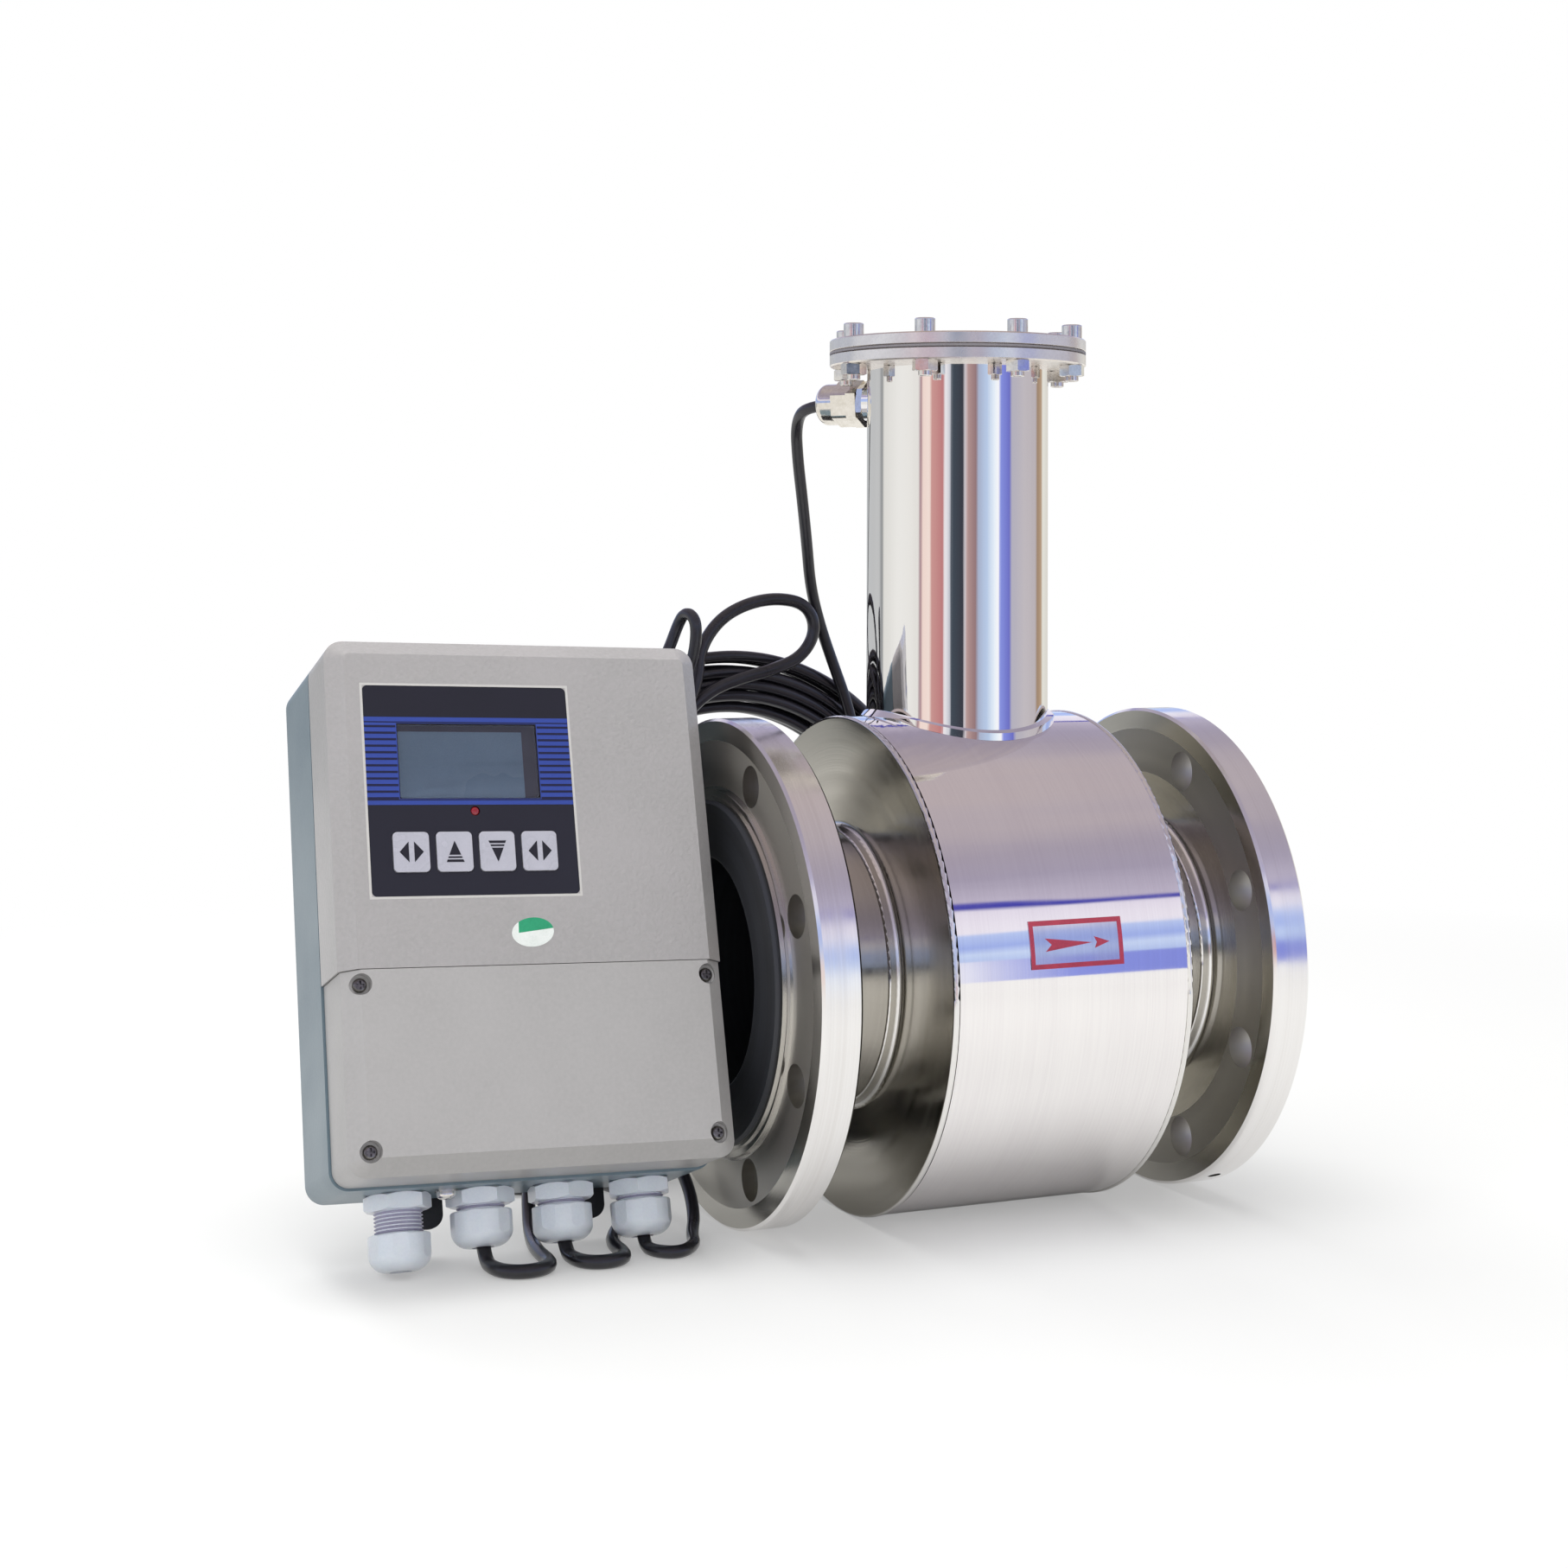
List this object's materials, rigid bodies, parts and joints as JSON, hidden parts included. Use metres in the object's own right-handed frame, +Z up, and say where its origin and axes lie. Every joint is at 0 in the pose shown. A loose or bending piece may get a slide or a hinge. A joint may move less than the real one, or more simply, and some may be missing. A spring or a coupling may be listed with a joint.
{
  "type": "electromagnetic flow meter",
  "caption": "Flanged electromagnetic flow sensor with a rubber liner and a tall neck, joined by a coiled cable to a remote converter box with display and keys.",
  "frame": {"origin": "on the flow axis, at the middle of the sensor, under the neck's axis", "axes": "+X along the flow, from the inlet flange to the outlet flange; +Z up the neck; the table is at z = -0.110"},
  "size_m": [0.4162, 0.2389, 0.3946],
  "materials": {
    "stainless": "polished and turned stainless steel",
    "fastener_steel": "plain stainless fasteners",
    "liner_rubber": "smooth black moulded rubber",
    "seal_rubber": "matt black rubber",
    "flow_label": "printed foil with a red arrow",
    "copper_winding": "enamelled copper wire",
    "magnet_iron": "soft iron",
    "insulator": "moulded insulator",
    "circuit_board": "green circuit board",
    "transformer": "laminated core with a wound bobbin",
    "gland_brass": "nickel-plated brass",
    "box_paint": "die-cast aluminium with light grey powder coat",
    "panel_foil": "dark printed foil with a blue band",
    "display_pane": "clear pane",
    "display_glass": "grey-blue display that is switched off",
    "lamp_red": "red lamp",
    "key_silver": "silver-grey keys",
    "gland_plastic": "white polyamide",
    "bracket_black": "black painted steel",
    "cable_jacket": "black sheath with a soft sheen"
  },
  "bodies": {
    "meter": {"measuring_tube": "stainless", "inlet_flange": "stainless", "outlet_flange": "stainless", "housing_shell": "stainless", "inlet_end_plate": "stainless", "outlet_end_plate": "stainless", "neck_tube": "stainless", "neck_flange": "stainless", "neck_cover": "stainless", "cover_bolts": "fastener_steel", "cover_nuts": "fastener_steel", "cover_screws": "fastener_steel", "bracket_screws": "fastener_steel", "earth_screw": "fastener_steel", "earth_washer": "fastener_steel", "electrodes": "fastener_steel", "electrode_nuts": "fastener_steel", "rubber_liner": "liner_rubber", "neck_gasket": "seal_rubber", "box_gasket": "seal_rubber", "gland_seals": "seal_rubber", "neck_gland_seal": "seal_rubber", "flow_label": "flow_label", "upper_coil": "copper_winding", "lower_coil": "copper_winding", "pole_shoes": "magnet_iron", "magnet_yoke": "magnet_iron", "electrode_bushes": "insulator", "terminal_block": "insulator", "terminal_strip": "insulator", "terminal_board": "circuit_board", "display_board": "circuit_board", "main_board": "circuit_board", "transformer": "transformer", "neck_gland_body": "gland_brass", "neck_gland_locknut": "gland_brass", "neck_gland_cap": "gland_brass", "back_housing": "box_paint", "front_cover": "box_paint", "terminal_cover": "box_paint", "keypad_overlay": "panel_foil", "display_window": "display_pane", "display_module": "display_glass", "status_lamp": "lamp_red", "gland_bodies": "gland_plastic", "gland_caps": "gland_plastic", "gland_locknuts": "gland_plastic", "mounting_bracket": "bracket_black", "sensor_cable_drop": "cable_jacket", "cable_coil": "cable_jacket", "sensor_cable_tail": "cable_jacket", "supply_lead": "cable_jacket", "output_lead": "cable_jacket"},
    "left_key": {"key_left": "key_silver"},
    "up_key": {"key_up": "key_silver"},
    "down_key": {"key_down": "key_silver"},
    "right_key": {"key_right": "key_silver"}
  },
  "joints": [
    {"name": "left_key_press", "type": "slide", "parent": "meter", "child": "left_key", "axis": [0, 0.9411, -0.3382], "range_m": [0, 0.0005], "stiffness_N_per_m": 3000},
    {"name": "up_key_press", "type": "slide", "parent": "meter", "child": "up_key", "axis": [0, 0.9411, -0.3382], "range_m": [0, 0.0005], "stiffness_N_per_m": 3000},
    {"name": "down_key_press", "type": "slide", "parent": "meter", "child": "down_key", "axis": [0, 0.9411, -0.3382], "range_m": [0, 0.0005], "stiffness_N_per_m": 3000},
    {"name": "right_key_press", "type": "slide", "parent": "meter", "child": "right_key", "axis": [0, 0.9411, -0.3382], "range_m": [0, 0.0005], "stiffness_N_per_m": 3000}
  ]
}
